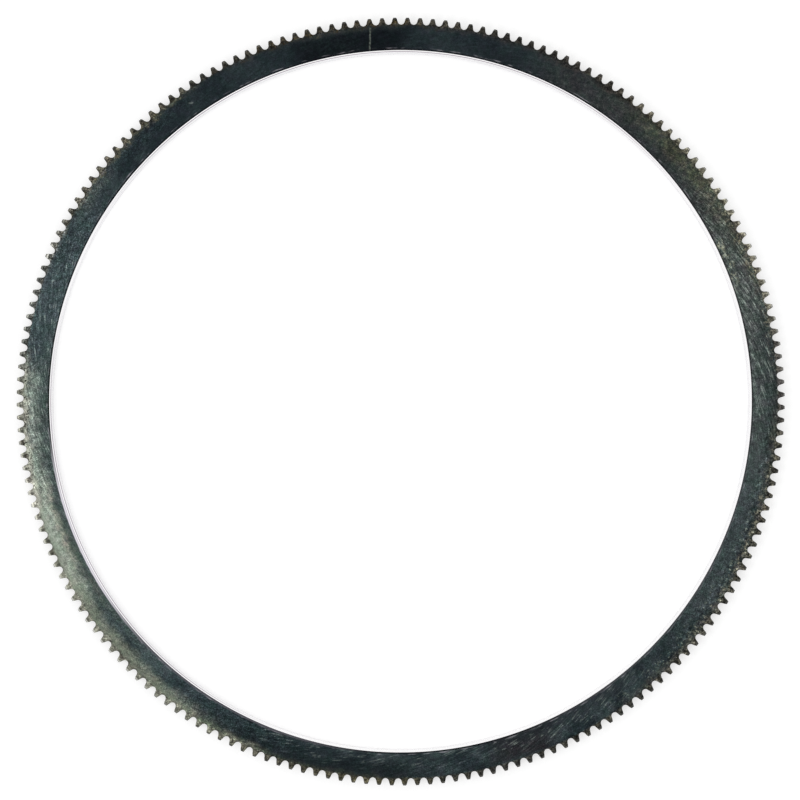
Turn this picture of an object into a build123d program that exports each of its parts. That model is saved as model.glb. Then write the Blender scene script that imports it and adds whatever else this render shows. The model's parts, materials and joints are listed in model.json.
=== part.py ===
from build123d import *
from math import acos, cos, pi, radians, sin, tan
import os

# Ring gear: a hoop of steel with stub teeth on the outside, which is shrunk onto a flywheel.
# It lies on its seat face, with its axis on +Z and its origin at the centre of that face.
# Lengths are in millimetres and angles in degrees.

# Driving dimensions
teeth = 188                # a tooth stands on each of the four axes
module = 2.1167            # pitch diameter over tooth count, here 12 teeth to the inch of diameter
pressure_angle = 20
addendum = 1.69            # pitch circle to tooth tip, short as on a stub tooth
dedendum = 2.12            # pitch circle to tooth root
backlash_thinning = 0.45   # taken off each tooth's thickness on the pitch circle
rim_depth = 14.3           # tooth root to bore
face_width = 9.5
bore_chamfer = 1.0         # on both ends of the bore
entry_chamfer = 1.1        # on the tooth tips of the upper face, where the pinion enters
seat_chamfer = 0.4         # on the tooth tips of the seat face
cutter_overrun = 1.0       # how far the cutter runs past the blank on each side

# Circles that the dimensions give
pitch_radius = module * teeth / 2
base_radius = pitch_radius * cos(radians(pressure_angle))
tip_radius = pitch_radius + addendum
root_radius = pitch_radius - dedendum
bore_radius = root_radius - rim_depth
mouth_radius = tip_radius + cutter_overrun

# Tooth space: half of the gap between two teeth, measured from the middle of the gap
tooth_thickness = pi * module / 2 - backlash_thinning
half_gap = pi / teeth - tooth_thickness / (2 * pitch_radius)


def involute(angle):
    return tan(angle) - angle


def flank_point(radius):
    """A point of the tooth flank that bounds the gap lying on +X."""
    swing = involute(acos(base_radius / radius)) - involute(radians(pressure_angle))
    return radius * cos(half_gap + swing), radius * sin(half_gap + swing)


# The gap's floor is one full arc that runs tangent into both flanks
flank_slope = radians(pressure_angle) + half_gap
pitch_x, pitch_y = flank_point(pitch_radius)
flank_reach = pitch_y * cos(flank_slope) - (pitch_x - root_radius) * sin(flank_slope)
floor_arc = flank_reach / (1 - sin(flank_slope))
floor_end = (
    root_radius + floor_arc * (1 - sin(flank_slope)),
    floor_arc * cos(flank_slope),
)

# One gap between two teeth, lying on +X
with BuildSketch() as gap:
    with BuildLine():
        flank = ThreePointArc(floor_end, flank_point(pitch_radius), flank_point(mouth_radius))
        far_flank = mirror(flank, about=Plane.XZ)
        ThreePointArc(flank @ 0, (root_radius, 0), far_flank @ 0)
        Line(flank @ 1, far_flank @ 1)
    make_face()

# The turned blank with its chamfers, then the hobbed teeth
with BuildPart() as ring_gear:
    with BuildSketch():
        Circle(tip_radius)
        Circle(bore_radius, mode=Mode.SUBTRACT)
    extrude(amount=face_width)
    rims = ring_gear.edges().filter_by(GeomType.CIRCLE).group_by(SortBy.RADIUS)
    seat_rim, entry_rim = rims[-1].sort_by(Axis.Z)
    chamfer(rims[0], length=bore_chamfer)
    chamfer(entry_rim, length=entry_chamfer)
    chamfer(seat_rim, length=seat_chamfer)
    with BuildSketch(Plane.XY.offset(-cutter_overrun)):
        with PolarLocations(0, teeth, start_angle=180 / teeth):
            add(gap.sketch)
    extrude(amount=face_width + 2 * cutter_overrun, mode=Mode.SUBTRACT)

ring_gear.part.label = "ring_gear"
os.makedirs("parts", exist_ok=True)
export_step(ring_gear.part, "parts/ring_gear.step")
print("diameters: tips %.2f, roots %.2f, bore %.2f" % (2 * tip_radius, 2 * root_radius, 2 * bore_radius))
print("radius of the gap's floor %.3f" % floor_arc)
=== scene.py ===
import bpy
import json
import random
from math import acos, atan2, cos, hypot, pi, radians, sin, tan
from mathutils import Matrix, Vector


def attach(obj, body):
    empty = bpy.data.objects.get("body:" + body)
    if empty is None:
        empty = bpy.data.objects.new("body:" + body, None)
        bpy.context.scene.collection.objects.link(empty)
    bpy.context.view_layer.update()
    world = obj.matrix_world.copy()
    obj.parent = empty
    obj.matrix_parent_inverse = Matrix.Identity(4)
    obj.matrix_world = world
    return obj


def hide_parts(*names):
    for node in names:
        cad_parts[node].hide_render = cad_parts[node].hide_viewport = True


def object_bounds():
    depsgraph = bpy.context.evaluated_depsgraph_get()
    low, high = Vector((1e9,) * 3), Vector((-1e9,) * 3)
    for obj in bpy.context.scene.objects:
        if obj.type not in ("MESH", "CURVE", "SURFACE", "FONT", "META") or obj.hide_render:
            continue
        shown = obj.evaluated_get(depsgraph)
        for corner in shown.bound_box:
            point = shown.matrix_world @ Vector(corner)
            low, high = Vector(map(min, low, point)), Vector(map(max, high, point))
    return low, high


# Ring gear in oil-blackened steel, lying on its seat face on a white studio floor.
# The mesh is worked out in millimetres from the frame's sizes and turned into metres at the end.

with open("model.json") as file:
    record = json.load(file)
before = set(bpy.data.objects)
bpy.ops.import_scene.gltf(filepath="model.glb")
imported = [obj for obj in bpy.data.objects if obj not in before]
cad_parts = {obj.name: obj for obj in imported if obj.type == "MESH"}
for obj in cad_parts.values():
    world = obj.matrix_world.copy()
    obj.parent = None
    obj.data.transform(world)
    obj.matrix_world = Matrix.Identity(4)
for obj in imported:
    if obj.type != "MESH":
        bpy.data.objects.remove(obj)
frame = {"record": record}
cadLow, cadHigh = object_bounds()
random.seed(188)
mm = 0.001


# Node helpers, used by every material

noiseMiddle = 0.5    # mean of a noise texture
noiseSpread = 0.36   # how far apart its values lie


def plug(tree, socket, value):
    if isinstance(value, bpy.types.NodeSocket):
        tree.links.new(value, socket)
    else:
        socket.default_value = value


def calc(tree, operation, *values, clamp=False):
    node = tree.nodes.new("ShaderNodeMath")
    node.operation = operation
    node.use_clamp = clamp
    for socket, value in zip(node.inputs, values):
        plug(tree, socket, value)
    return node.outputs[0]


def product(tree, *values):
    result = values[0]
    for value in values[1:]:
        result = calc(tree, "MULTIPLY", result, value)
    return result


def addScaled(tree, base, value, factor):
    return calc(tree, "MULTIPLY_ADD", value, factor, base)


def remainder(tree, mask):
    return calc(tree, "SUBTRACT", 1.0, mask)  # what the mask leaves open


def vectorCalc(tree, operation, first, second=None, scale=None):
    node = tree.nodes.new("ShaderNodeVectorMath")
    node.operation = operation
    plug(tree, node.inputs[0], first)
    if second is not None:
        plug(tree, node.inputs[1], second)
    if scale is not None:
        plug(tree, node.inputs["Scale"], scale)
    return node.outputs["Value"] if operation in ("LENGTH", "DOT_PRODUCT") else node.outputs["Vector"]


def splitUp(tree, vector):
    node = tree.nodes.new("ShaderNodeSeparateXYZ")
    plug(tree, node.inputs[0], vector)
    return node.outputs


def putTogether(tree, *values):
    node = tree.nodes.new("ShaderNodeCombineXYZ")
    for socket, value in zip(node.inputs, values):
        plug(tree, socket, value)
    return node.outputs[0]


def step(tree, value, low, high):
    node = tree.nodes.new("ShaderNodeMapRange")  # smooth rise from 0 at low to 1 at high
    node.interpolation_type = "SMOOTHSTEP"
    plug(tree, node.inputs["Value"], value)
    plug(tree, node.inputs["From Min"], low)
    plug(tree, node.inputs["From Max"], high)
    return node.outputs["Result"]


def above(tree, value, edge, softness):
    return step(tree, value, calc(tree, "SUBTRACT", edge, softness), calc(tree, "ADD", edge, softness))


def below(tree, value, edge, softness):
    return step(tree, value, calc(tree, "ADD", edge, softness), calc(tree, "SUBTRACT", edge, softness))


def noise(tree, vector, scale, detail, roughness, output="Fac"):
    node = tree.nodes.new("ShaderNodeTexNoise")
    plug(tree, node.inputs["Vector"], vector)
    plug(tree, node.inputs["Scale"], scale)
    node.inputs["Detail"].default_value = detail
    node.inputs["Roughness"].default_value = roughness
    return node.outputs[output]


def noiseEdge(covered):
    return noiseMiddle + (0.5 - covered) * noiseSpread  # noise is higher than this on the covered share


def blendColour(tree, mask, under, over):
    node = tree.nodes.new("ShaderNodeMix")
    node.data_type = "RGBA"
    plug(tree, node.inputs["Factor"], mask)
    plug(tree, node.inputs[6], under)  # 6, 7 and 2 are the node's colour sockets
    plug(tree, node.inputs[7], over)
    return node.outputs[2]


def paint(red, green, blue):
    # a screen colour from 0 to 255, as the linear light that the shaders work in
    def linear(value):
        value /= 255
        return value / 12.92 if value <= 0.04045 else ((value + 0.055) / 1.055) ** 2.4
    return (linear(red), linear(green), linear(blue), 1.0)


def startMaterial(name):
    material = bpy.data.materials.new(name)
    material.use_nodes = True
    tree = material.node_tree
    return material, tree, tree.nodes["Principled BSDF"].inputs


def startGroup(name, inputs, outputs):
    tree = bpy.data.node_groups.new(name, "ShaderNodeTree")
    for label, kind, default in inputs:
        socket = tree.interface.new_socket(label, in_out="INPUT", socket_type="NodeSocket" + kind)
        if default is not None:
            socket.default_value = default
    for label, kind in outputs:
        tree.interface.new_socket(label, in_out="OUTPUT", socket_type="NodeSocket" + kind)
    return tree, tree.nodes.new("NodeGroupInput").outputs, tree.nodes.new("NodeGroupOutput").inputs


def useGroup(tree, group, values):
    node = tree.nodes.new("ShaderNodeGroup")
    node.node_tree = group
    for label, value in values.items():
        plug(tree, node.inputs[label], value)
    return node.outputs


# Ring: one closed grid of columns round the teeth and loops round the section

ringShape = {
    "pressureAngle": 20,
    "dedendum": 2.12,          # pitch circle to root
    "backlashThinning": 0.45,
    "entryChamfer": 1.1,       # tooth tips, upper face
    "seatChamfer": 0.4,        # tooth tips, seat face
    "edgeRounding": 0.22,      # hand-filed edge between the faces and the tooth flanks
    "edgeMiddle": 0.36,        # where the middle of that edge lies, in shares of its rounding
    "cornerRounding": 0.14,    # tooth tips, seen from above
    "cornerPoints": ((1.0, 0.0), (0.3, 0.22), (0.0, 0.85)),  # down and across, in shares of that rounding
    "boreEdgeRounding": 0.18,
    "floorPoints": 6,          # columns on half of a gap's floor
    "flankPoints": 2,
    "faceRings": (0.8, 3.5, 7.0, 10.2),  # loops across the upper face, from the chamfer's edge
    "seatRings": (1.5, 8.0),
    "rootMargin": 1.5,         # last even loop inside the roots
    "rootShare": 0.5,          # how far the columns of that loop follow the teeth
    "tipWear": 0.04,           # how much shorter a worn tooth can be
    "sideWear": 0.04,          # how much thinner on each flank
    "flankHollow": 0.13,       # worn off low on each flank
    "hollowStart": 0.1,        # above the root circle
    "hollowHeight": 2.3,
    "sharpAngle": 41,          # a corner that turns by more is shaded as an edge
}

mounts = {mount["name"]: mount["dims"] for mount in frame["record"]["mounts"]}
teeth = int(mounts["tooth_mesh"]["count"])
pitchRadius = mounts["tooth_mesh"]["pcd_mm"] / 2
tipRadius = (cadHigh.x - cadLow.x) / 2 / mm
faceWidth = (cadHigh.z - cadLow.z) / mm
boreRadius = mounts["bore"]["r_mm"]
boreChamfer = (faceWidth - mounts["bore"]["length_mm"]) / 2
rootRadius = pitchRadius - ringShape["dedendum"]
toothPitch = 2 * pi / teeth
pressure = radians(ringShape["pressureAngle"])
baseRadius = pitchRadius * cos(pressure)
toothThickness = pi * pitchRadius / teeth - ringShape["backlashThinning"]
halfGap = pi / teeth - toothThickness / (2 * pitchRadius)
flankSlope = pressure + halfGap
flankColumns = ringShape["flankPoints"] + len(ringShape["cornerPoints"])
columnsPerTooth = 2 * (ringShape["floorPoints"] + flankColumns + 1)


def involute(angle):
    return tan(angle) - angle


def flankAngle(radius, inset):
    lean = acos(baseRadius / radius)
    return halfGap + involute(lean) - involute(pressure) + inset / (radius * cos(lean))


# The floor arc that runs tangent into the flanks, as in the solid
pitchX = pitchRadius * cos(flankAngle(pitchRadius, 0))
pitchY = pitchRadius * sin(flankAngle(pitchRadius, 0))
flankReach = pitchY * cos(flankSlope) - (pitchX - rootRadius) * sin(flankSlope)
floorArc = flankReach / (1 - sin(flankSlope))

# How much shorter and thinner each tooth is worn
wear = []
for _ in range(teeth):
    wear.append((random.random() ** 3 * ringShape["tipWear"], random.random() * ringShape["sideWear"]))


def hollowTurn(radius):
    share = (radius - rootRadius - ringShape["hollowStart"]) / ringShape["hollowHeight"]
    return ringShape["flankHollow"] * sin(pi * min(max(share, 0), 1)) / radius


def halfTooth(outerRadius, inset, thinner):
    # (radius, angle) from the middle of a gap to the middle of the next tooth
    points = []
    floorEnd = pi / 2 - flankSlope
    for k in range(ringShape["floorPoints"] + 1):
        turn = floorEnd * k / ringShape["floorPoints"]
        x = rootRadius + floorArc - (floorArc + inset) * cos(turn)
        y = (floorArc + inset) * sin(turn)
        points.append((hypot(x, y), atan2(y, x) + hollowTurn(hypot(x, y))))
    corner = ringShape["cornerRounding"]
    start = points[-1][0]
    stop = outerRadius - corner
    for k in range(1, ringShape["flankPoints"] + 1):
        radius = start + (stop - start) * k / (ringShape["flankPoints"] + 1)
        points.append((radius, flankAngle(radius, inset) + hollowTurn(radius) + thinner / radius))
    for down, across in ringShape["cornerPoints"]:
        radius = outerRadius - down * corner
        angle = flankAngle(radius, inset) + thinner / outerRadius + across * corner / radius
        points.append((radius, angle))
    points.append((outerRadius, pi / teeth))
    return points


def tipAt(height):
    entry = faceWidth - ringShape["entryChamfer"]
    return tipRadius - max(0, height - entry) - max(0, ringShape["seatChamfer"] - height)


def outlineLoop(height, inset):
    loop = []
    for tooth in range(teeth):
        shorter, thinner = wear[tooth]
        half = halfTooth(tipAt(height) - shorter, inset, thinner)
        gapCentre = (tooth - 0.5) * toothPitch
        for radius, angle in half:
            loop.append((radius, gapCentre + angle, height))
        for radius, angle in reversed(half[1:-1]):
            loop.append((radius, gapCentre + toothPitch - angle, height))
    return loop


def evenLoop(radius, height, likeTeeth=0.0):
    # columns evenly spaced, or drawn part of the way towards the tooth outline's own spacing
    outline = outlineLoop(faceWidth, ringShape["edgeRounding"]) if likeTeeth else None
    loop = []
    for column in range(teeth * columnsPerTooth):
        angle = (column / columnsPerTooth - 0.5) * toothPitch
        if outline:
            angle += (outline[column][1] - angle) * likeTeeth
        loop.append((radius, angle, height))
    return loop


def sectionLoops():
    rounding = ringShape["edgeRounding"]
    middle = ringShape["edgeMiddle"] * rounding
    boreEdge = ringShape["boreEdgeRounding"]
    chamferEdge = boreRadius + boreChamfer
    nearRoot = rootRadius - ringShape["rootMargin"]
    loops = [
        evenLoop(boreRadius, boreChamfer),
        evenLoop(boreRadius, faceWidth - boreChamfer),
        evenLoop(chamferEdge - boreEdge, faceWidth - boreEdge),
        evenLoop(chamferEdge + boreEdge, faceWidth),
    ]
    for across in ringShape["faceRings"]:
        loops.append(evenLoop(chamferEdge + across, faceWidth))
    loops.append(evenLoop(nearRoot, faceWidth, ringShape["rootShare"]))
    # upper edge, chamfer, flanks, lower chamfer and lower edge
    for height, inset in (
        (faceWidth, rounding),
        (faceWidth - middle, middle),
        (faceWidth - rounding, 0.0),
        (faceWidth - ringShape["entryChamfer"], 0.0),
        (ringShape["seatChamfer"], 0.0),
        (rounding, 0.0),
        (middle, middle),
        (0.0, rounding),
    ):
        loops.append(outlineLoop(height, inset))
    loops.append(evenLoop(nearRoot, 0.0, ringShape["rootShare"]))
    for across in reversed(ringShape["seatRings"]):
        loops.append(evenLoop(chamferEdge + across, 0.0))
    loops.append(evenLoop(chamferEdge, 0.0))
    return loops


def buildRing(loops):
    columns = len(loops[0])
    vertices = [
        (radius * cos(angle) * mm, radius * sin(angle) * mm, height * mm)
        for loop in loops
        for radius, angle, height in loop
    ]
    faces = []
    for row in range(len(loops)):
        following = (row + 1) % len(loops)
        for column in range(columns):
            beside = (column + 1) % columns
            faces.append((
                row * columns + column,
                following * columns + column,
                following * columns + beside,
                row * columns + beside,
            ))
    mesh = bpy.data.meshes.new("toothedRing")
    mesh.from_pydata(vertices, [], faces)
    ring = bpy.data.objects.new("toothed_ring", mesh)
    bpy.context.scene.collection.objects.link(ring)
    mesh.polygons.foreach_set("use_smooth", [True] * len(faces))
    mesh.set_sharp_from_angle(angle=radians(ringShape["sharpAngle"]))
    normals = ring.modifiers.new("flat faces stay flat", "WEIGHTED_NORMAL")
    normals.keep_sharp = True
    return ring


# Map of the surface: strips of teeth laid side by side, u along the teeth and v round the section

bakeMap = {
    "strips": 4,
    "columnShare": 0.45,   # how far the columns' widths follow the teeth's outline rather than the angle
    "gap": 0.012,
    "smallestRow": 0.3,    # room for the narrow rows at the edges
}


def columnWidths():
    outline = outlineLoop(faceWidth / 2, 0.0)
    share = bakeMap["columnShare"]
    widths = []
    for (radius, angle, _), (nextRadius, nextAngle, _) in zip(outline, outline[1:] + outline[:1]):
        turn = (nextAngle - angle) % (2 * pi)
        real = hypot(nextRadius - radius, turn * radius)
        widths.append(share * real + (1 - share) * toothPitch * radius / columnsPerTooth)
    return widths


def rowEdges(loops):
    edges = [0.0]
    for loop, following in zip(loops, loops[1:] + loops[:1]):
        spans = [hypot(a[0] - b[0], a[2] - b[2]) for a, b in zip(loop[:columnsPerTooth], following)]
        edges.append(edges[-1] + max(sum(spans) / len(spans), bakeMap["smallestRow"]))
    return edges


def layBakeMap(mesh, loops):
    gap = bakeMap["gap"]
    widths = columnWidths()
    edges = rowEdges(loops)
    perStrip = len(widths) // bakeMap["strips"]
    strips = [widths[k * perStrip:(k + 1) * perStrip] for k in range(bakeMap["strips"])]
    scale = (1 - 2 * gap) / max(sum(strip) for strip in strips)
    tall = edges[-1] * scale + gap
    along = []
    for number, strip in enumerate(strips):
        left = gap
        for width in strip:
            right = left + width * scale
            along.append((left, right, gap + number * tall))
            left = right
    places = []
    for low, high in zip(edges, edges[1:]):
        for left, right, lift in along:
            bottom = lift + low * scale
            top = lift + high * scale
            places += [left, bottom, left, top, right, top, right, bottom]
    mesh.uv_layers.new(name="OFBake").data.foreach_set("uv", places)


ringLoops = sectionLoops()
ring = buildRing(ringLoops)
layBakeMap(ring.data, ringLoops)
print("ring: %d teeth, %d faces" % (teeth, len(ring.data.polygons)))


# Shared effects

effectShape = {
    "wanderScale": 0.11,       # of the ragged edges of the zones
    "wanderDetail": 3.0,
    "wanderRoughness": 0.55,
    "streakDetail": 2.5,
    "streakRoughness": 0.55,
    "mottleDetail": 3.0,
    "mottleRoughness": 0.6,
    "coreOffset": 0.08,        # the side of a tooth where shade is painted, in tooth pitches from its middle
    "coreEdge": 0.15,
    "coreFull": 0.03,
}


def ringRadius(tree, place):
    return vectorCalc(tree, "LENGTH", vectorCalc(tree, "MULTIPLY", place, (1, 1, 0)))


def seenFrom(tree, place, degrees):
    # how far a place lies out along the direction at that angle, and to the left of it
    x, y, _ = splitUp(tree, place)
    angle = calc(tree, "RADIANS", degrees)
    angleCos = calc(tree, "COSINE", angle)
    angleSin = calc(tree, "SINE", angle)
    out = calc(tree, "ADD", product(tree, x, angleCos), product(tree, y, angleSin))
    left = calc(tree, "SUBTRACT", product(tree, y, angleCos), product(tree, x, angleSin))
    return out, left


def makeRingPlace():
    # Bar is the ring rolled out: length along the bar from opposite the weld, radius and height
    tree, given, result = startGroup(
        "ringPlace",
        [("Weld Angle", "Float", 0.0), ("Ragged", "Float", 0.0)],
        [("Place", "Vector"), ("Bar", "Vector"), ("Depth", "Float"), ("Height", "Float"),
         ("Rough Place", "Vector")],
    )
    coordinates = tree.nodes.new("ShaderNodeTexCoord").outputs["Object"]
    place = vectorCalc(tree, "SCALE", coordinates, scale=1 / mm)
    height = splitUp(tree, place)["Z"]
    radius = ringRadius(tree, place)
    out, left = seenFrom(tree, place, given["Weld Angle"])
    turn = calc(tree, "ARCTAN2", calc(tree, "MULTIPLY", left, -1), calc(tree, "MULTIPLY", out, -1))
    length = calc(tree, "MULTIPLY", turn, (rootRadius + boreRadius) / 2)
    wander = noise(tree, place, effectShape["wanderScale"], effectShape["wanderDetail"],
                   effectShape["wanderRoughness"], "Color")
    wander = vectorCalc(tree, "SUBTRACT", wander, (noiseMiddle, noiseMiddle, noiseMiddle))
    rough = vectorCalc(tree, "ADD", place, vectorCalc(tree, "SCALE", wander, scale=given["Ragged"]))
    plug(tree, result["Place"], place)
    plug(tree, result["Bar"], putTogether(tree, length, radius, height))
    plug(tree, result["Depth"], calc(tree, "SUBTRACT", rootRadius, radius))
    plug(tree, result["Height"], height)
    plug(tree, result["Rough Place"], rough)
    return tree


def makeFinishPatch():
    tree, given, result = startGroup(
        "finishPatch",
        [("Place", "Vector", None), ("Angle", "Float", 0.0), ("Half Width", "Float", 10.0),
         ("Softness", "Float", 5.0), ("Near Depth", "Float", -5.0), ("Far Depth", "Float", 20.0),
         ("Depth Softness", "Float", 2.0)],
        [("Mask", "Float")],
    )
    out, left = seenFrom(tree, given["Place"], given["Angle"])
    away = calc(tree, "ABSOLUTE", calc(tree, "DEGREES", calc(tree, "ARCTAN2", left, out)))
    depth = calc(tree, "SUBTRACT", rootRadius, ringRadius(tree, given["Place"]))
    along = below(tree, away, given["Half Width"], given["Softness"])
    near = above(tree, depth, given["Near Depth"], given["Depth Softness"])
    far = below(tree, depth, given["Far Depth"], given["Depth Softness"])
    plug(tree, result["Mask"], product(tree, along, near, far))
    return tree


def makeStreaks():
    # short marks along the bar, slanting inwards as they run
    tree, given, result = startGroup(
        "streaks",
        [("Bar", "Vector", None), ("Slant", "Float", -8.0), ("Length", "Float", 8.0),
         ("Width", "Float", 0.8), ("Low", "Float", 0.5), ("High", "Float", 0.7)],
        [("Mask", "Float"), ("Height", "Float")],
    )
    along, radius, height = splitUp(tree, given["Bar"])
    slope = calc(tree, "TANGENT", calc(tree, "RADIANS", given["Slant"]))
    across = calc(tree, "SUBTRACT", radius, product(tree, along, slope))
    stretched = putTogether(
        tree,
        calc(tree, "DIVIDE", along, given["Length"]),
        calc(tree, "DIVIDE", across, given["Width"]),
        calc(tree, "DIVIDE", height, given["Width"]),
    )
    value = noise(tree, stretched, 1.0, effectShape["streakDetail"], effectShape["streakRoughness"])
    plug(tree, result["Mask"], step(tree, value, given["Low"], given["High"]))
    plug(tree, result["Height"], value)
    return tree


def makeMottle():
    tree, given, result = startGroup(
        "mottle",
        [("Place", "Vector", None), ("Size", "Float", 1.0), ("Low", "Float", 0.4),
         ("High", "Float", 0.6)],
        [("Mask", "Float"), ("Height", "Float")],
    )
    scale = calc(tree, "DIVIDE", 1.0, given["Size"])
    value = noise(tree, given["Place"], scale, effectShape["mottleDetail"],
                  effectShape["mottleRoughness"])
    plug(tree, result["Mask"], step(tree, value, given["Low"], given["High"]))
    plug(tree, result["Height"], value)
    return tree


def makePerTooth():
    # one random value for each tooth, and a mask a little to one side of the tooth's middle, where shade
    # is painted
    tree, given, result = startGroup(
        "perTooth",
        [("Place", "Vector", None)],
        [("Shade", "Float"), ("Core", "Float")],
    )
    x, y, _ = splitUp(tree, given["Place"])
    pitches = calc(tree, "DIVIDE", calc(tree, "ARCTAN2", y, x), toothPitch)
    number = calc(tree, "ROUND", pitches)
    offMiddle = calc(tree, "SUBTRACT", pitches, number)
    offShadedSide = calc(tree, "ABSOLUTE", calc(tree, "SUBTRACT", offMiddle, effectShape["coreOffset"]))
    whiteNoise = tree.nodes.new("ShaderNodeTexWhiteNoise")
    whiteNoise.noise_dimensions = "1D"
    plug(tree, whiteNoise.inputs["W"], calc(tree, "WRAP", number, teeth, 0))
    plug(tree, result["Shade"], whiteNoise.outputs["Value"])
    plug(tree, result["Core"], step(tree, offShadedSide, effectShape["coreEdge"], effectShape["coreFull"]))
    return tree


ringPlace = makeRingPlace()
finishPatch = makeFinishPatch()
streaks = makeStreaks()
mottle = makeMottle()
perTooth = makePerTooth()
print("shared effects: place, patch, streaks, mottle and shade per tooth")

# A zone's row starts with its limits: angle, half width and softness in degrees, then near depth,
# far depth and softness in millimetres inside the roots.
limitNames = ("Angle", "Half Width", "Softness", "Near Depth", "Far Depth", "Depth Softness")


def zoneMask(tree, place, limits):
    return useGroup(tree, finishPatch, {"Place": place, **dict(zip(limitNames, limits))})["Mask"]


def zonesOf(tree, place, zones):
    # the mask of each zone, with what its row gives after the limits
    for row in zones.values():
        yield zoneMask(tree, place, row), *row[len(limitNames):]


def mottleOf(tree, where, size, edges):
    low, high = edges
    return useGroup(tree, mottle, {"Place": where["Place"], "Size": size, "Low": low, "High": high})


def streaksOf(tree, where, slant, length, width, edges):
    low, high = edges
    return useGroup(tree, streaks, {
        "Bar": where["Bar"], "Slant": slant, "Length": length, "Width": width, "Low": low, "High": high})


# Blackened steel

blackenedSteel = {
    "deep": paint(33, 41, 44),
    "middle": paint(52, 61, 63),
    "greenCast": (0.90, 1.03, 0.96, 1),
    "violetCast": (1.06, 0.98, 1.05, 1),
    "calmCast": (200, 30, 8, -9, 9, 3),  # limits of the zone where both casts are half as strong
    "calmShare": 0.5,
    # light scratches, their glint painted into the colour
    "lightStreak": paint(138, 147, 139),
    # painted highlight on the tips' upper chamfer
    "worn": paint(210, 210, 204),
    "wornEverywhere": 0.03,
    "roughness": 0.40,
    "roughnessSwing": 0.12,
    "raggedEdges": 7.0,
    "cloudSize": 13.0,
    "castSize": 4.0,
    "grainSize": 0.9,
    "fineGrainSize": 0.45,
    "scaleSize": 2.4,
    "clumpSize": 5.0,
    "mottleEdges": (0.38, 0.62),        # noise values between which a mask rises from 0 to 1
    "castEdges": (0.3, 0.7),
    "clumpEdges": (0.42, 0.56),
    "fleckSoftness": 0.05,
    "streakSlant": -14.0,
    "streakLength": 6.0,
    "streakWidth": 0.7,
    "streakEdges": (0.52, 0.74),
    "markSoftness": (0.04, 0.08),       # of a light streak, below and above its edge in the noise
    "baseStops": (1.4, 1.6, 1.8, 2.6),  # streak, grain, scale and fine grain where no zone raises them
    "grainHeight": 0.012,
    "streakHeight": 0.02,
}

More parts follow.
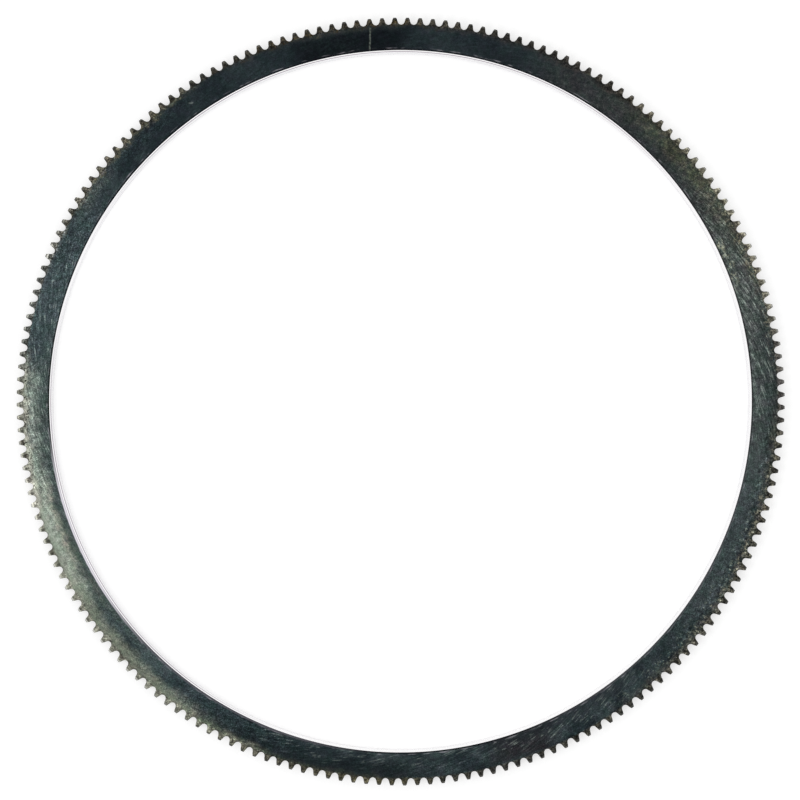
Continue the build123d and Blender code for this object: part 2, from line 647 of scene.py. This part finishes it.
# limits, then colour, strength and mottled share
steelPatches = {
    # the light patch on the right is partly paler worn oxide and partly a painted sheen where the face's
    # broad reflection falls
    "lightRight": (11, 22, 9, -5, 20, 2, paint(83, 87, 84), 0.75, 0.3),
    "darkRightEdge": (0, 12, 6, -5, 7, 2.5, paint(34, 41, 42), 0.8, 0.3),
    "brownRight": (22, 6, 4, -5, 4, 2, paint(68, 64, 52), 0.6, 0.7),
    "oliveUpperRight": (40, 12, 7, -5, 8, 4, paint(84, 83, 64), 0.6, 0.5),
    "brownUpperRight": (42, 14, 6, 7, 20, 3, paint(50, 50, 49), 0.6, 0.3),
    "blueTop": (97, 42, 14, -5, 20, 2, paint(33, 40, 44), 0.7, 0.1),
    "greyUpperRight": (58, 8, 4, -5, 20, 2, paint(54, 55, 54), 0.7, 0.4),
    "shadeUpperRight": (72, 4, 4, 6, 20, 4, paint(26, 29, 33), 0.6, 0.4),
    "brownRoots": (51, 8, 4, -5, 1.2, 1.2, paint(36, 34, 27), 0.8, 0.3),
    "darkTop": (97.2, 9.0, 2.4, 2.4, 20, 2.2, paint(14, 17, 20), 0.9, 0.35),
    "brownTop": (82, 34, 8, -5, 1.8, 2.0, paint(53, 50, 46), 0.6, 0.5),
    "brownLeftTop": (138, 13, 6, -5, 1.5, 1.5, paint(90, 88, 75), 0.6, 0.7),
    "grainyLeftTop": (160, 12, 8, -5, 20, 2, paint(64, 75, 77), 0.7, 0.2),
    "scratchLeftTop": (124.3, 0.55, 0.3, 5.9, 6.5, 0.35, paint(120, 130, 126), 0.6, 0.3),
    "paleLeftTop": (145.5, 4, 2.5, -5, 6, 2, paint(78, 84, 80), 0.55, 0.6),
    "shadeLeftTop": (153.5, 4, 3, -5, 8, 2.5, paint(44, 52, 55), 0.55, 0.3),
    "greyRootsLeft": (152, 11, 5, -5, 1.0, 1.5, paint(96, 94, 93), 0.5, 0.5),
    # the creamy, bright, white, warm and grey patches from the left to the lower left are partly paler
    # worn oxide and partly a painted sheen where the face's broad reflection falls, the white one wholly
    # a painted glint
    "creamLeft": (184.5, 10, 3, -5, 8.3, 4, paint(120, 128, 120), 0.75, 0.4),
    "brightLeft": (201.5, 10, 5.5, -5, 8.0, 3.5, paint(132, 141, 129), 0.8, 0.2),
    "whiteLeft": (202, 5, 3, 0.5, 5, 1.5, paint(170, 178, 172), 0.5, 0.8),
    "warmLeft": (200, 6.5, 3.5, 5.5, 9, 1.6, paint(140, 132, 120), 0.5, 0.8),
    "brownInnerLeft": (207, 8, 4, 9.0, 11.5, 1.2, paint(78, 78, 62), 0.55, 0.6),
    "greyLowerLeft": (217, 20, 11, -5, 5.2, 3.6, paint(108, 112, 98), 0.75, 0.3),
    "tealInnerLeft": (197, 26, 10, 9, 20, 2, paint(64, 73, 70), 0.75, 0.2),
    "creamRootsLeft": (185.5, 11.5, 4, -5, 1.8, 1.6, paint(176, 175, 161), 0.7, 0.2),
    "darkBottom": (256, 17, 6, -5, 9, 4, paint(23, 29, 31), 0.9, 0.1),
    "darkRootsBottom": (271, 16, 6, -5, 3.0, 2.5, paint(34, 38, 41), 0.6, 0.3),
    "darkInnerBottom": (246.5, 10.5, 7.2, 6, 20, 3, paint(29, 38, 40), 0.85, 0.1),
    "oliveLowerLeft": (238, 9, 4, -5, 1.8, 1.8, paint(112, 116, 100), 0.72, 0.5),
    "oliveRootsBottom": (258, 10, 4, -5, 1.6, 1.2, paint(58, 60, 50), 0.5, 0.4),
    "reddishBottom": (289, 5, 2.5, 0.5, 20, 2.5, paint(34, 31, 33), 0.85, 0.3),
    "greyInnerLowerRight": (297, 13, 5, 8, 20, 3, paint(38, 42, 46), 0.75, 0.3),
    "lightLowerRight": (343, 24, 10, 4, 20, 2, paint(71, 80, 79), 0.5, 0.2),
    "brownLowerRight": (332, 25, 7, -5, 2.6, 1.8, paint(72, 69, 60), 0.55, 0.6),
}

# limits, then stops of streak, grain, scale and fine grain
textureZones = {
    "streakyRight": (14, 22, 8, 0, 20, 2, 2.0, 1.5, 0.6, 1.6),
    "mottledUpperRight": (42, 18, 8, -5, 20, 2, 0.0, 1.2, 1.0, 1.2),
    "grainyLeftTop": (137, 10, 6, -5, 7, 2, 0.0, 2.0, 0.5, 3.0),
    "grainyLeft": (152, 7, 5, -5, 20, 2, -0.6, 3.4, 0.4, 1.5),
    "brushedLeft": (173.5, 21.5, 7, -5, 20, 2, 2.2, 0.8, 0.0, 3.4),
    "crispLeft": (182, 14, 6, -5, 5, 2, 0.0, 0.4, 0.4, 0.9),
    "dullLowerLeft": (228, 20, 8, -5, 20, 2, 0.2, 1.4, -0.2, 2.6),
    "flakyLowerLeft": (243, 9, 5, -5, 20, 2, 0.4, 1.8, 1.4, 1.4),
    "streakyBottom": (270, 30, 12, 5, 20, 3, 1.0, 0.4, -0.6, 0.4),
    "crispBottom": (288, 20, 8, 1, 8, 2, 0.8, 1.2, 0.0, 2.2),
    "roughTeeth": (0, 190, 1, -6, 0.6, 0.6, -0.5, 5.0, 2.2, 1.0),
    "calmTeethLowerLeft": (231, 17, 6, -6, 2.0, 1.2, 0.0, -3.6, -2.4, -1.4),
    "calmTeethLeft": (193, 18, 5, -6, 2.0, 1.2, 0.0, -4.0, -2.0, -1.6),
    "roughLowerRight": (334, 20, 6, -5, 6, 2, 0.5, 3.0, 3.6, 1.6),
    "grainyLowerRight": (328, 18, 6, 6, 20, 2, 0.0, 1.7, 0.2, 2.6),
}

# limits, then size, share covered, colour and strength
fleckZones = {
    "creamLowerRight": (336, 15, 6, 0.0, 2.6, 1.0, 1.3, 0.40, paint(150, 146, 127), 0.6),
    "paleLowerRight": (326, 20, 6, 2.0, 7, 2, 1.3, 0.24, paint(130, 138, 126), 0.5),
    "creamRight": (18, 12, 6, -0.6, 2.6, 1.6, 1.2, 0.40, paint(126, 120, 100), 0.5),
    "creamInnerRight": (22.5, 4, 2, 9.5, 13, 1.5, 1.3, 0.50, paint(150, 150, 128), 0.6),
    "oliveLeftTop": (138, 14, 5, -1, 1.6, 1.0, 1.3, 0.44, paint(104, 99, 77), 0.5),
    "creamLeft": (182, 7, 4, -1, 4, 2, 1.5, 0.40, paint(176, 178, 162), 0.4),
    "darkPitsLeft": (181, 11, 4, -2.0, 3.0, 1.2, 1.2, 0.46, paint(40, 42, 38), 1.0),
    "darkTipsLeft": (190, 12, 6, -4.5, 0.2, 0.6, 1.7, 0.46, paint(66, 62, 54), 0.7),
    "darkTipsLowerLeft": (218, 14, 5, -4.5, 0.6, 0.6, 1.5, 0.40, paint(50, 48, 44), 0.8),
    "brownTop": (100, 16, 5, -3, 1.4, 1.0, 1.3, 0.46, paint(60, 50, 28), 0.6),
}

# limits, then share covered and strength of light scratches, whose glint is painted into their colour
streakZones = {
    "right": (14, 18, 7, 2, 20, 2, 0.32, 0.4),
    "bottom": (271, 24, 10, 6, 20, 3, 0.28, 0.16),
    "lowerRight": (299, 12, 5, 3, 12, 2, 0.28, 0.2),
    "left": (172, 22, 8, 3, 14, 2, 0.22, 0.28),
}

# limits, then how strong the painted highlight on the chamfer of the tips is
tipHighlightZones = {
    "lowerLeft": (207, 22, 8, -9, 9, 1, 0.75),
    "right": (22, 18, 9, -9, 9, 1, 0.35),
}


def steelTextures(tree, where):
    finish = blackenedSteel
    return {
        "cloud": mottleOf(tree, where, finish["cloudSize"], finish["mottleEdges"]),
        "cast": mottleOf(tree, where, finish["castSize"], finish["castEdges"]),
        "grain": mottleOf(tree, where, finish["grainSize"], finish["mottleEdges"]),
        "fineGrain": mottleOf(tree, where, finish["fineGrainSize"], finish["mottleEdges"]),
        "scale": mottleOf(tree, where, finish["scaleSize"], finish["mottleEdges"]),
        "clump": mottleOf(tree, where, finish["clumpSize"], finish["clumpEdges"]),
        "streak": streaksOf(tree, where, finish["streakSlant"], finish["streakLength"],
                            finish["streakWidth"], finish["streakEdges"]),
        "tooth": useGroup(tree, perTooth, {"Place": where["Place"]}),
    }


def layPatches(tree, where, texture, colour, patches):
    for mask, tint, strength, mottled in zonesOf(tree, where["Rough Place"], patches):
        broken = addScaled(tree, 1 - mottled, texture["scale"]["Mask"], mottled)
        colour = blendColour(tree, product(tree, mask, broken, strength), colour, tint)
    return colour


def castOver(tree, where, texture, colour):
    # a green and a violet cast in turn, nearer to their mean in the calm zone
    finish = blackenedSteel
    calm = zoneMask(tree, where["Rough Place"], finish["calmCast"])
    calm = product(tree, calm, finish["calmShare"])
    share = product(tree, texture["cast"]["Mask"], remainder(tree, calm))
    share = addScaled(tree, share, calm, 0.5)
    cast = blendColour(tree, share, finish["greenCast"], finish["violetCast"])
    return vectorCalc(tree, "MULTIPLY", colour, cast)


def scatterFlecks(tree, where, texture, colour):
    softness = blackenedSteel["fleckSoftness"]
    for mask, size, covered, tint, strength in zonesOf(tree, where["Rough Place"], fleckZones):
        edge = noiseEdge(covered)
        flecks = mottleOf(tree, where, size, (edge - softness, edge + softness))["Mask"]
        mask = product(tree, mask, flecks, texture["clump"]["Mask"], strength)
        colour = blendColour(tree, mask, colour, tint)
    return colour


def drawStreaks(tree, where, texture, colour):
    under, over = blackenedSteel["markSoftness"]
    for mask, covered, strength in zonesOf(tree, where["Rough Place"], streakZones):
        edge = noiseEdge(covered)
        marks = step(tree, texture["streak"]["Height"], edge - under, edge + over)
        mask = product(tree, mask, marks, texture["clump"]["Mask"], strength)
        colour = blendColour(tree, mask, colour, blackenedSteel["lightStreak"])
    return colour


def contrastStops(tree, where, texture):
    # how much light or dark the streaks, grain and scale add, in stops
    amounts = list(blackenedSteel["baseStops"])
    for mask, *changes in zonesOf(tree, where["Rough Place"], textureZones):
        for index, change in enumerate(changes):
            if change:
                amounts[index] = addScaled(tree, amounts[index], mask, change)
    stops = 0.0
    for amount, name in zip(amounts, ("streak", "grain", "scale", "fineGrain")):
        swing = calc(tree, "SUBTRACT", texture[name]["Height"], noiseMiddle)
        stops = addScaled(tree, stops, swing, amount)
    return stops


# Hardened teeth, each of its own shade, and the hobbed surfaces between them

hobbedTeeth = {
    "tint": paint(56, 52, 45),
    "cream": paint(112, 107, 92),
    "tintShare": 0.6,
    "creamLeast": 0.1,
    "creamSpread": 0.5,        # between the plainest and the creamiest tooth
    "band": 0.8,               # how far the tint reaches inside the roots
    "bandRagged": 1.5,
    "flank": paint(60, 57, 51),
    "flankShare": 0.78,
    "flankStart": 0.2,         # below a face
    "flankFull": 0.9,
    "hobFeed": 1.15,           # spacing of the hob's marks along the teeth
    "hobShift": 3.0,           # most that two teeth are out of line, in marks
    "hobHeight": 0.010,
    "hobStops": 0.35,
    "facetOuter": 0.2,         # softness of the edge of the tips' chamfer, outside and inside its line
    "facetInner": 0.1,
}

# limits, then colour, strength and mottled share
toothPatches = {
    "tanRight": (28, 19, 9, -6, -0.2, 0.7, paint(118, 115, 102), 0.6, 0.5),
    "darkUpperRight": (64, 12, 6, -6, 0.6, 0.7, paint(30, 29, 29), 0.72, 0.2),
    "darkTop": (98, 16, 8, -6, -0.2, 0.7, paint(40, 37, 31), 0.4, 0.3),
    "tanLeftTop": (141, 12, 8, -6, -0.2, 0.7, paint(90, 86, 75), 0.5, 0.5),
    "greyLeft": (168, 16, 9, -6, -0.2, 0.7, paint(96, 98, 94), 0.5, 0.5),
    # on the left teeth, the white patches are painted glints, and the broad light patch is partly paler
    # tint and partly a painted sheen
    "whiteLeft": (194.5, 4.5, 2, -6, 0.2, 0.8, paint(176, 174, 164), 0.55, 0.4),
    "darkLeft": (203.2, 2.4, 1.2, -6, 0.0, 0.8, paint(66, 62, 52), 0.6, 0.3),
    "whiteLowerLeft": (208.2, 1.6, 0.8, -6, 0.0, 0.8, paint(176, 175, 160), 0.55, 0.3),
    "darkLowerLeft": (213, 2.6, 1.5, -6, 0.0, 0.8, paint(90, 88, 78), 0.5, 0.4),
    "lightLowerLeft": (220, 19, 8, -6, -0.2, 0.7, paint(126, 127, 116), 0.65, 0.4),
    "darkLowerRight": (321, 10, 6, -6, -0.2, 0.7, paint(54, 54, 50), 0.5, 0.4),
    "greyBottom": (287, 6, 3, -6, -0.2, 0.7, paint(46, 46, 46), 0.6, 0.3),
    "violetRight": (2, 7, 5, -6, -0.2, 0.7, paint(80, 76, 80), 0.4, 0.4),
    "oliveBottom": (265, 9, 7, -6, -0.2, 0.7, paint(78, 74, 48), 0.4, 0.6),
}

# limits, then stops of painted light, below nought for painted shade, and whether only the shaded side of
# each tooth takes them
paintedToothLight = {
    "tipsRight": (26, 16, 6, -6, -1.8, 0.7, 0.75, False),
    "tipsUpperRight": (54, 12, 4, -6, -1.0, 0.7, 0.6, False),
    "tipsLeft": (165, 18, 6, -6, -2.4, 0.5, 1.25, False),
    "tipsLowerLeft": (194, 12, 5, -6, -2.3, 0.5, 1.1, False),
    "feetLeftTop": (131, 20, 6, -1.6, 0.4, 0.6, -0.35, False),
    "feetLeft": (165, 16, 6, -2.2, 0.4, 0.5, -0.5, True),
    "feetLowerLeft": (193, 13, 4, -2.0, -0.3, 0.5, -1.3, True),
    "feetBottom": (290, 22, 8, -2.6, -0.4, 0.5, -0.3, False),
    "feetLowerRight": (331, 20, 6, -3.4, 0.4, 0.8, -0.2, False),
}


def tintTeeth(tree, where, texture, colour):
    ragged = hobbedTeeth["bandRagged"]
    band = hobbedTeeth["band"]
    inside = addScaled(tree, where["Depth"], texture["scale"]["Height"], ragged)
    toothMask = step(tree, inside, ragged * noiseMiddle + band, ragged * noiseMiddle - band)
    shade = texture["tooth"]["Shade"]
    cream = addScaled(tree, hobbedTeeth["creamLeast"], shade, hobbedTeeth["creamSpread"])
    cream = product(tree, texture["scale"]["Mask"], cream)
    tint = blendColour(tree, cream, hobbedTeeth["tint"], hobbedTeeth["cream"])
    colour = blendColour(tree, product(tree, toothMask, hobbedTeeth["tintShare"]), colour, tint)
    return layPatches(tree, where, texture, colour, toothPatches)


def hobbedSurface(tree, where, texture):
    # a mask of the tips, flanks and gap floors, and the marks of the hob's feed on them
    start, full = hobbedTeeth["flankStart"], hobbedTeeth["flankFull"]
    mask = product(
        tree,
        step(tree, where["Height"], faceWidth - start, faceWidth - full),
        step(tree, where["Height"], start, full),
    )
    feed = calc(tree, "DIVIDE", where["Height"], hobbedTeeth["hobFeed"])
    feed = addScaled(tree, feed, texture["tooth"]["Shade"], hobbedTeeth["hobShift"])
    marks = product(tree, calc(tree, "SINE", product(tree, feed, 2 * pi)), mask)
    return mask, marks


def paintToothLight(tree, where, texture, stops):
    # painted light on the tips and painted shade on the feet of the teeth
    for mask, change, shadedSideOnly in zonesOf(tree, where["Place"], paintedToothLight):
        if shadedSideOnly:
            mask = product(tree, mask, texture["tooth"]["Core"])
        stops = addScaled(tree, stops, mask, change)
    return stops


def paintTipHighlights(tree, where, colour):
    # the tips' upper chamfer, with a painted highlight strongest on the lower left and a little elsewhere
    inner, outer = hobbedTeeth["facetInner"], hobbedTeeth["facetOuter"]
    radius = calc(tree, "SUBTRACT", rootRadius, where["Depth"])
    facetEdge = tipRadius - ringShape["entryChamfer"]
    facetFoot = faceWidth - ringShape["entryChamfer"]
    facet = product(
        tree,
        step(tree, radius, facetEdge - inner, facetEdge + outer),
        step(tree, where["Height"], facetFoot - inner, facetFoot + outer),
    )
    worn = blackenedSteel["wornEverywhere"]
    for mask, share in zonesOf(tree, where["Rough Place"], tipHighlightZones):
        worn = addScaled(tree, worn, mask, share)
    return blendColour(tree, product(tree, facet, worn), colour, blackenedSteel["worn"])


# Butt weld, a thin ground seam from root to bore that leans a little

weldSeam = {
    "angle": 93.75,
    "lean": 0.10,              # along the ring for each mm inwards
    "width": 0.62,
    "core": 0.4,               # share of the width that is full
    "start": (0.2, 2.0),       # depths between which it fades in
    "least": 0.3,              # what shows where the grain is darkest
    "colour": paint(84, 90, 84),
}


def drawWeld(tree, where, texture, colour):
    angle = radians(weldSeam["angle"])
    sideways = vectorCalc(tree, "DOT_PRODUCT", where["Place"], (-sin(angle), cos(angle), 0))
    leaning = calc(tree, "SUBTRACT", sideways, product(tree, where["Depth"], weldSeam["lean"]))
    width = weldSeam["width"]
    line = step(tree, calc(tree, "ABSOLUTE", leaning), width, width * weldSeam["core"])
    out = vectorCalc(tree, "DOT_PRODUCT", where["Place"], (cos(angle), sin(angle), 0))
    thisSide = calc(tree, "GREATER_THAN", out, 0)
    inside = step(tree, where["Depth"], *weldSeam["start"])
    shown = calc(tree, "ADD", texture["grain"]["Mask"], weldSeam["least"])
    return blendColour(tree, product(tree, line, thisSide, inside, shown), colour, weldSeam["colour"])


# Edge at the bore: a dark line on the face, and a broken painted highlight outside it

boreEdge = {
    "dark": paint(18, 18, 22),
    "darkBand": (0.75, 0.35),      # distances from the chamfer, where it starts and where it is full
    "darkShare": 0.75,
    # painted highlight along the bore's edge, broken into dashes
    "light": paint(176, 172, 180),
    "lightOuter": (1.5, 1.1),
    "lightInner": (0.6, 0.8),
    "lightShare": 0.5,
    "dashLength": 7.0,
    "dashWidth": 1.2,
    "dashEdges": (0.5, 0.72),
    "glintBand": (1.1, 0.5),
}

# limits, then colour and strength of painted glints, on the last millimetre before the bore
paintedBoreGlints = {
    "left": (204, 14, 7, -9, 20, 1, paint(216, 212, 220), 0.85),
    "bottom": (237, 22, 8, -9, 20, 1, paint(106, 103, 111), 0.42),
    "lowerRight": (322, 26, 12, -9, 20, 1, paint(104, 104, 108), 0.24),
}


def drawBoreEdge(tree, where, colour):
    chamferEdge = rootRadius - boreRadius - boreChamfer

    def nearBore(band):
        start, full = band
        return step(tree, where["Depth"], chamferEdge - start, chamferEdge - full)

    glints = list(zonesOf(tree, where["Rough Place"], paintedBoreGlints))
    dark = nearBore(boreEdge["darkBand"])
    for mask, tint, strength in glints:
        dark = product(tree, dark, remainder(tree, product(tree, mask, strength)))
    colour = blendColour(tree, product(tree, dark, boreEdge["darkShare"]), colour, boreEdge["dark"])
    dashes = streaksOf(tree, where, 0.0, boreEdge["dashLength"], boreEdge["dashWidth"],
                       boreEdge["dashEdges"])["Mask"]
    light = product(tree, nearBore(boreEdge["lightOuter"]), nearBore(boreEdge["lightInner"]), dashes)
    colour = blendColour(tree, product(tree, light, boreEdge["lightShare"]), colour, boreEdge["light"])
    glint = nearBore(boreEdge["glintBand"])
    for mask, tint, strength in glints:
        colour = blendColour(tree, product(tree, glint, mask, strength), colour, tint)
    return colour


def makeBlackenedSteel():
    finish = blackenedSteel
    material, tree, shader = startMaterial("blackenedSteel")
    where = useGroup(tree, ringPlace, {"Weld Angle": weldSeam["angle"], "Ragged": finish["raggedEdges"]})
    texture = steelTextures(tree, where)
    hobbed, hobMarks = hobbedSurface(tree, where, texture)
    flank = product(tree, hobbed, hobbedTeeth["flankShare"])

    colour = blendColour(tree, texture["cloud"]["Mask"], finish["deep"], finish["middle"])
    colour = layPatches(tree, where, texture, colour, steelPatches)
    colour = castOver(tree, where, texture, colour)
    colour = tintTeeth(tree, where, texture, colour)
    colour = scatterFlecks(tree, where, texture, colour)
    colour = drawStreaks(tree, where, texture, colour)
    colour = blendColour(tree, flank, colour, hobbedTeeth["flank"])

    stops = product(tree, contrastStops(tree, where, texture), remainder(tree, flank))
    stops = addScaled(tree, stops, hobMarks, hobbedTeeth["hobStops"])
    stops = paintToothLight(tree, where, texture, stops)
    colour = vectorCalc(tree, "SCALE", colour, scale=calc(tree, "POWER", 2.0, stops))

    colour = drawWeld(tree, where, texture, colour)
    colour = drawBoreEdge(tree, where, colour)
    colour = paintTipHighlights(tree, where, colour)
    plug(tree, shader["Base Color"], colour)
    shader["Metallic"].default_value = 1.0
    roughness = addScaled(tree, finish["roughness"], texture["grain"]["Height"], finish["roughnessSwing"])
    plug(tree, shader["Roughness"], roughness)

    relief = product(tree, texture["grain"]["Height"], finish["grainHeight"])
    relief = addScaled(tree, relief, texture["streak"]["Height"], finish["streakHeight"])
    relief = addScaled(tree, relief, hobMarks, hobbedTeeth["hobHeight"])
    bump = tree.nodes.new("ShaderNodeBump")
    bump.inputs["Strength"].default_value = 1.0
    bump.inputs["Distance"].default_value = mm
    plug(tree, bump.inputs["Height"], relief)
    plug(tree, shader["Normal"], bump.outputs["Normal"])
    return material


# Bore, turned bright after blackening; its near-white colour is partly the bright steel and partly a
# painted reflection of the white studio

turnedBore = {
    # near white: bright turned steel, raised towards white as a painted reflection of the white studio
    "chamfer": paint(252, 251, 252),
    "chamferSoftness": 0.05,
    "wall": paint(247, 246, 248),
    "wallDull": paint(208, 207, 210),
    "wallBand": paint(160, 159, 165),    # broad bands where the tool chattered
    "bandShare": 0.45,
    "bandWidth": 1.0,
    "bandLength": 90.0,
    "bandEdges": (0.42, 0.66),
    "latheWidth": 0.16,                  # of the fine marks that the tool left
    "latheLength": 30.0,
    "latheEdges": (0.35, 0.65),
    "oilFilm": 1.0,                      # rust guard on the bright metal, a mirror when seen edge-on
    "oilRoughness": 0.08,
    "corner": paint(122, 104, 122),      # a darker pinkish line along the chamfers, in some places
    "cornerDepth": 0.8,                  # how far down the chamfer
    "cornerWidth": 0.26,
    "roughness": 0.24,
}

# limits alone
cornerZones = {
    "top": (92, 48, 12, 9, 20, 1),
    "lowerLeft": (206, 34, 12, 9, 20, 1),
}


def makeTurnedBore():
    finish = turnedBore
    material, tree, shader = startMaterial("turnedBore")
    where = useGroup(tree, ringPlace, {"Weld Angle": weldSeam["angle"], "Ragged": 0.0})
    lathe = streaksOf(tree, where, 0.0, finish["latheLength"], finish["latheWidth"], finish["latheEdges"])
    chatter = streaksOf(tree, where, 0.0, finish["bandLength"], finish["bandWidth"], finish["bandEdges"])
    wall = blendColour(tree, lathe["Mask"], finish["wallDull"], finish["wall"])
    bands = product(tree, chatter["Mask"], finish["bandShare"])
    wall = blendColour(tree, bands, wall, finish["wallBand"])

    fromMiddle = calc(tree, "ABSOLUTE", calc(tree, "SUBTRACT", where["Height"], faceWidth / 2))
    wallEnd = faceWidth / 2 - boreChamfer
    softness = finish["chamferSoftness"]
    onChamfer = step(tree, fromMiddle, wallEnd - softness, wallEnd + softness)
    colour = blendColour(tree, onChamfer, wall, finish["chamfer"])
    away = calc(tree, "SUBTRACT", fromMiddle, faceWidth / 2 - finish["cornerDepth"])
    line = step(tree, calc(tree, "ABSOLUTE", away), finish["cornerWidth"], 0.0)
    shown = 0.0
    for (mask,) in zonesOf(tree, where["Place"], cornerZones):
        shown = calc(tree, "ADD", shown, mask, clamp=True)
    colour = blendColour(tree, product(tree, line, shown), colour, finish["corner"])

    plug(tree, shader["Base Color"], colour)
    shader["Metallic"].default_value = 1.0
    shader["Roughness"].default_value = finish["roughness"]
    shader["Coat Weight"].default_value = finish["oilFilm"]
    shader["Coat Roughness"].default_value = finish["oilRoughness"]
    return material


def dressRing():
    ring.data.materials.append(makeBlackenedSteel())
    ring.data.materials.append(makeTurnedBore())
    columns = teeth * columnsPerTooth
    boreRows = (0, 1, len(ringLoops) - 1)  # wall, upper chamfer and lower chamfer
    slots = [int(face // columns in boreRows) for face in range(len(ring.data.polygons))]
    ring.data.polygons.foreach_set("material_index", slots)


dressRing()
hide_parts("ring_gear")
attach(ring, "root")
print("materials: blackened steel and turned bore")


# Studio, with sizes in metres and the lamp in watts

studio = {
    "worldLevel": 0.85,
    "floorSize": 12.0,
    "floorDrop": 0.0002,
    "floorColour": (0.55, 0.55, 0.55, 1),
    "floorGlow": 0.58,
    "floorRoughness": 0.9,
    "keyPlace": (-0.33, -0.18, 0.95),
    "keySize": (0.42, 0.34),
    "keyPower": 1.2,
}


def backgroundRay(tree):
    path = tree.nodes.new("ShaderNodeLightPath").outputs
    seen = calc(tree, "MAXIMUM", path["Is Camera Ray"], path["Is Glossy Ray"])
    return calc(tree, "MAXIMUM", seen, path["Is Transmission Ray"])


def buildFloor():
    half = studio["floorSize"] / 2
    mesh = bpy.data.meshes.new("studioFloor")
    corners = [(-half, -half, 0), (half, -half, 0), (half, half, 0), (-half, half, 0)]
    mesh.from_pydata(corners, [], [(0, 1, 2, 3)])
    floor = bpy.data.objects.new("studio_floor", mesh)
    floor.location.z = -studio["floorDrop"]
    bpy.context.scene.collection.objects.link(floor)
    material, tree, shader = startMaterial("whiteFloor")
    shader["Base Color"].default_value = studio["floorColour"]
    shader["Roughness"].default_value = studio["floorRoughness"]
    shader["Specular IOR Level"].default_value = 0.0
    shader["Emission Color"].default_value = (1, 1, 1, 1)
    plug(tree, shader["Emission Strength"], product(tree, backgroundRay(tree), studio["floorGlow"]))
    mesh.materials.append(material)


def buildWorld():
    world = bpy.data.worlds.new("studioWorld")
    bpy.context.scene.world = world
    world.use_nodes = True
    tree = world.node_tree
    level = studio["worldLevel"]
    background = tree.nodes["Background"]
    background.inputs["Color"].default_value = (1, 1, 1, 1)
    plug(tree, background.inputs["Strength"], addScaled(tree, level, backgroundRay(tree), 1 - level))


def buildSoftbox(name, place, size, power):
    lamp = bpy.data.lights.new(name, "AREA")
    lamp.shape = "RECTANGLE"
    lamp.size, lamp.size_y = size
    lamp.energy = power
    box = bpy.data.objects.new(name, lamp)
    box.location = place
    box.rotation_mode = "QUATERNION"
    box.rotation_quaternion = Vector(place).to_track_quat("Z", "Y")
    bpy.context.scene.collection.objects.link(box)


buildFloor()
buildWorld()
buildSoftbox("keySoftbox", studio["keyPlace"], studio["keySize"], studio["keyPower"])
print("studio: floor, world and softbox")


# Camera, straight above and leaning a little towards the lower right

view = {
    "height": 1.12,            # metres above the point it looks at
    "lens": 96.567,
    "lean": 1.790,             # degrees off the vertical
    "leanTowards": -62.99,
    "roll": -0.742,
    "aim": (0.00017, -0.00019),
}


def buildCamera():
    data = bpy.data.cameras.new("camera")
    data.lens = view["lens"]
    camera = bpy.data.objects.new("camera", data)
    bpy.context.scene.collection.objects.link(camera)
    lean, towards, roll = (radians(view[name]) for name in ("lean", "leanTowards", "roll"))
    aim = Vector((*view["aim"], cadHigh.z))
    away = Vector((sin(lean) * cos(towards), sin(lean) * sin(towards), cos(lean)))
    right = Vector((-sin(roll), cos(roll), 0)).cross(away).normalized()
    up = away.cross(right)
    turn = Matrix((right, up, away)).transposed()
    camera.matrix_world = Matrix.Translation(aim + away * view["height"]) @ turn.to_4x4()
    bpy.context.scene.camera = camera


buildCamera()
bpy.context.scene.view_settings.view_transform = "Standard"
